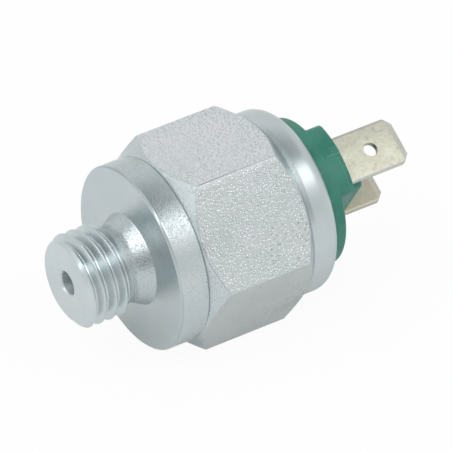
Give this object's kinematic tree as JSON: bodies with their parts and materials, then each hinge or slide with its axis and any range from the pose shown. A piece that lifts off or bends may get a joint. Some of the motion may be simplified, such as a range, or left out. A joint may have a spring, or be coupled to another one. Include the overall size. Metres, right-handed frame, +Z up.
{
  "type": "air pressure sensor",
  "caption": "Screw-in air pressure sensor with a threaded port stud, round collar, hexagon body and green cap with flat blade terminals; a diaphragm moves its contact disc.",
  "frame": {"origin": "on the resting surface, under the middle of the overall length; the axis of the stud runs 12 mm above it", "axes": "+X along the axis from the tip of the stud to the tips of the blades, +Z up, square to the flat of the hexagon that it lies on"},
  "size_m": [0.0462, 0.0278, 0.024],
  "materials": {
    "zinc_plate": "bright bluish zinc plating over turned, drawn and coined steel",
    "cap_green": "satin moulded plastic",
    "tinned_brass": "tin-plated brass strip, stamped and coined",
    "rubber_black": "moulded rubber",
    "spring_steel": "bright spring steel",
    "turned_steel": "turned steel",
    "turned_brass": "turned brass",
    "carrier_white": "moulded plastic",
    "silver_plate": "silver-plated copper alloy",
    "seal_lacquer": "hardened sealing lacquer"
  },
  "bodies": {
    "sensor_body": {"housing": "zinc_plate", "insulator_cap": "cap_green", "blade_terminal_near": "tinned_brass", "blade_terminal_far": "tinned_brass", "diaphragm": "rubber_black", "diaphragm_ring": "turned_steel", "spacer_ring": "turned_steel", "fixed_contact_near": "silver_plate", "fixed_contact_far": "silver_plate", "switching_spring": "spring_steel", "spring_seat": "turned_brass", "adjusting_screw": "turned_brass", "screw_seal": "seal_lacquer", "cap_seal": "rubber_black"},
    "contact_carrier": {"support_disc": "spring_steel", "piston": "turned_brass", "plunger": "carrier_white", "contact_spring": "spring_steel", "contact_disc": "silver_plate", "disc_retainer": "spring_steel"}
  },
  "joints": [
    {"name": "contact_stroke", "type": "slide", "parent": "sensor_body", "child": "contact_carrier", "axis": [1, 0, 0], "range_m": [0, 0.00078], "stiffness_N_per_m": 2000, "springref_m": -0.005, "deforming": ["diaphragm", "switching_spring"]}
  ]
}
